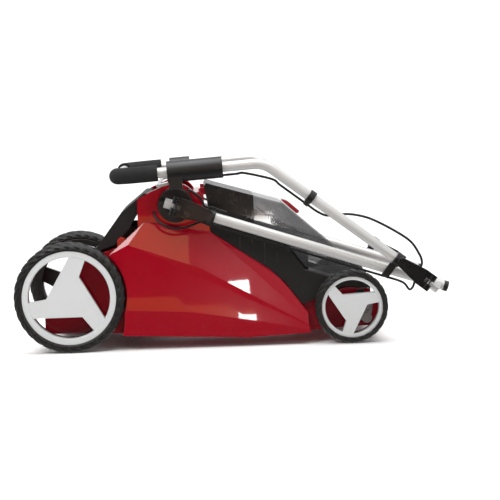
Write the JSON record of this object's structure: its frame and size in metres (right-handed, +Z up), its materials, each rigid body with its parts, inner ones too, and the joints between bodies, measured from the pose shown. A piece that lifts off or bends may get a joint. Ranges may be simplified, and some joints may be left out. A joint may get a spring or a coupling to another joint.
{
  "type": "battery lawn mower",
  "caption": "Walk-behind battery lawn mower with a moulded deck, large rear wheels, clear battery lid, rear chute flap and a two-part tube handle folded forward over the deck.",
  "frame": {"origin": "on the ground, below the middle of the folded machine", "axes": "+X forward, +Y to the mower's left, +Z up"},
  "size_m": [0.9402, 0.5006, 0.4156],
  "materials": {
    "deck_red": "glossy moulded plastic with a deep red colour",
    "black_plastic": "satin black moulding",
    "silver_tube": "satin silver powder coat",
    "steel_part": "zinc plated steel",
    "hub_plastic": "light grey moulding",
    "tyre_rubber": "dark grey rubber with a moulded tread",
    "lid_clear": "smoke tinted clear plastic",
    "copper_parts": "copper windings",
    "cable_rubber": "black cable sheath",
    "grip_foam": "black foam grip",
    "key_plastic": "bright moulded key"
  },
  "bodies": {
    "mower_body": {"deck_shell": "deck_red", "chute_frame": "black_plastic", "side_cover_right": "black_plastic", "side_cover_left": "black_plastic", "front_cover": "black_plastic", "height_scale": "black_plastic", "motor_housing": "black_plastic", "motor_stator": "copper_parts", "housing_screws": "steel_part", "battery_bay": "black_plastic", "lid_hinge_rod": "steel_part", "pivot_bases": "black_plastic", "axle_bushes": "black_plastic", "flap_rod": "steel_part", "flap_spring": "steel_part"},
    "lid": {"lid_shell": "lid_clear", "lid_panel": "black_plastic", "lid_grip": "deck_red"},
    "pack_right": {"battery_right": "black_plastic"},
    "pack_left": {"battery_left": "black_plastic"},
    "key": {"safety_key": "key_plastic"},
    "rotor": {"rotor_shaft": "steel_part", "blade_carrier": "black_plastic", "blade": "steel_part", "blade_bolt": "steel_part"},
    "rear_crank": {"rear_axle": "steel_part", "height_lever": "steel_part", "height_knob": "black_plastic"},
    "front_crank": {"front_axle": "steel_part"},
    "link": {"link_rod": "steel_part"},
    "wheel_rear_right": {"tyre_rear_right": "tyre_rubber", "hub_rear_right": "hub_plastic"},
    "wheel_rear_left": {"tyre_rear_left": "tyre_rubber", "hub_rear_left": "hub_plastic"},
    "wheel_front_right": {"tyre_front_right": "tyre_rubber", "hub_front_right": "hub_plastic"},
    "wheel_front_left": {"tyre_front_left": "tyre_rubber", "hub_front_left": "hub_plastic"},
    "flap": {"rear_flap": "black_plastic"},
    "lower_handle": {"lower_tubes": "silver_tube", "lower_end_caps": "black_plastic", "pivot_saddles": "black_plastic", "pivot_bolts": "steel_part", "cable_clip": "black_plastic", "cable_lower": "cable_rubber", "cable_pivot_loop": "cable_rubber"},
    "pivot_clamp_right": {"pivot_lever_right": "black_plastic"},
    "pivot_clamp_left": {"pivot_lever_left": "black_plastic"},
    "upper_handle": {"upper_tube": "silver_tube", "hinge_bolts": "steel_part", "grips": "grip_foam", "switch_housing": "black_plastic", "far_housing": "black_plastic", "tube_hooks": "black_plastic", "cable_upper": "cable_rubber", "cable_mid_loop": "cable_rubber"},
    "hinge_clamp_right": {"hinge_lever_right": "black_plastic"},
    "hinge_clamp_left": {"hinge_lever_left": "black_plastic"},
    "bail": {"start_bail": "silver_tube"},
    "button": {"lock_button": "deck_red"}
  },
  "joints": [
    {"name": "lid_hinge", "type": "hinge", "parent": "mower_body", "child": "lid", "pos_m": [-0.04414, 0, 0.345], "axis": [0, -1, 0], "range_deg": [0, 75]},
    {"name": "pack_right_slide", "type": "slide", "parent": "mower_body", "child": "pack_right", "axis": [-0.866, 0, 0.5], "range_m": [0, 0.055]},
    {"name": "pack_left_slide", "type": "slide", "parent": "mower_body", "child": "pack_left", "axis": [-0.866, 0, 0.5], "range_m": [0, 0.055]},
    {"name": "key_slide", "type": "slide", "parent": "mower_body", "child": "key", "axis": [0, 0, 1], "range_m": [0, 0.015]},
    {"name": "blade_spin", "type": "hinge", "parent": "mower_body", "child": "rotor", "pos_m": [-0.02014, 0, 0.06], "axis": [0, 0, 1], "continuous": true},
    {"name": "height_rear", "type": "hinge", "parent": "mower_body", "child": "rear_crank", "pos_m": [-0.31411, 0, 0.08998], "axis": [0, -1, 0], "range_deg": [0, 65]},
    {"name": "height_front", "type": "hinge", "parent": "mower_body", "child": "front_crank", "pos_m": [0.29589, 0, 0.04998], "axis": [0, -1, 0], "range_deg": [0, 65]},
    {"name": "link_turn", "type": "hinge", "parent": "front_crank", "child": "link", "pos_m": [0.30572, 0.102, 0.08668], "axis": [0, -1, 0], "range_deg": [-65, 0]},
    {"name": "wheel_rear_right_spin", "type": "hinge", "parent": "rear_crank", "child": "wheel_rear_right", "pos_m": [-0.35014, -0.169, 0.12], "axis": [0, 1, 0], "continuous": true},
    {"name": "wheel_rear_left_spin", "type": "hinge", "parent": "rear_crank", "child": "wheel_rear_left", "pos_m": [-0.35014, 0.169, 0.12], "axis": [0, 1, 0], "continuous": true},
    {"name": "wheel_front_right_spin", "type": "hinge", "parent": "front_crank", "child": "wheel_front_right", "pos_m": [0.25986, -0.171, 0.08], "axis": [0, 1, 0], "continuous": true},
    {"name": "wheel_front_left_spin", "type": "hinge", "parent": "front_crank", "child": "wheel_front_left", "pos_m": [0.25986, 0.171, 0.08], "axis": [0, 1, 0], "continuous": true},
    {"name": "flap_hinge", "type": "hinge", "parent": "mower_body", "child": "flap", "pos_m": [-0.17414, 0, 0.326], "axis": [0, 1, 0], "range_deg": [0, 40], "stiffness_Nm_per_rad": 0.4, "springref_deg": -20.05, "deforming": ["flap_spring"]},
    {"name": "lower_fold", "type": "hinge", "parent": "mower_body", "child": "lower_handle", "pos_m": [-0.11514, 0, 0.312], "axis": [0, -1, 0], "range_deg": [0, 153], "deforming": ["cable_pivot_loop"]},
    {"name": "upper_fold", "type": "hinge", "parent": "lower_handle", "child": "upper_handle", "pos_m": [0.42002, 0, 0.13397], "axis": [0, 1, 0], "range_deg": [0, 162], "deforming": ["cable_mid_loop"]},
    {"name": "pivot_clamp_right_flip", "type": "hinge", "parent": "lower_handle", "child": "pivot_clamp_right", "pos_m": [-0.11514, -0.2175, 0.312], "axis": [-0.3156, 0, -0.9489], "range_deg": [0, 110]},
    {"name": "pivot_clamp_left_flip", "type": "hinge", "parent": "lower_handle", "child": "pivot_clamp_left", "pos_m": [-0.11514, 0.2175, 0.312], "axis": [0.3156, 0, 0.9489], "range_deg": [0, 110]},
    {"name": "hinge_clamp_right_flip", "type": "hinge", "parent": "upper_handle", "child": "hinge_clamp_right", "pos_m": [0.42002, -0.2415, 0.13397], "axis": [0.6088, 0, 0.7934], "range_deg": [0, 110]},
    {"name": "hinge_clamp_left_flip", "type": "hinge", "parent": "upper_handle", "child": "hinge_clamp_left", "pos_m": [0.42002, 0.2415, 0.13397], "axis": [-0.6088, 0, -0.7934], "range_deg": [0, 110]},
    {"name": "bail_squeeze", "type": "hinge", "parent": "upper_handle", "child": "bail", "pos_m": [-0.11647, 0, 0.36304], "axis": [0, 1, 0], "range_deg": [0, 35], "stiffness_Nm_per_rad": 0.2, "springref_deg": -22.92},
    {"name": "button_press", "type": "slide", "parent": "upper_handle", "child": "button", "axis": [0, -1, 0], "range_m": [0, 0.005], "stiffness_N_per_m": 150, "springref_m": -0.002}
  ],
  "couplings": [
    {"joint": "height_front", "follows": "height_rear", "ratio": 1},
    {"joint": "link_turn", "follows": "height_rear", "ratio": -1},
    {"joint": "upper_fold", "follows": "lower_fold", "ratio": 1.0523}
  ]
}
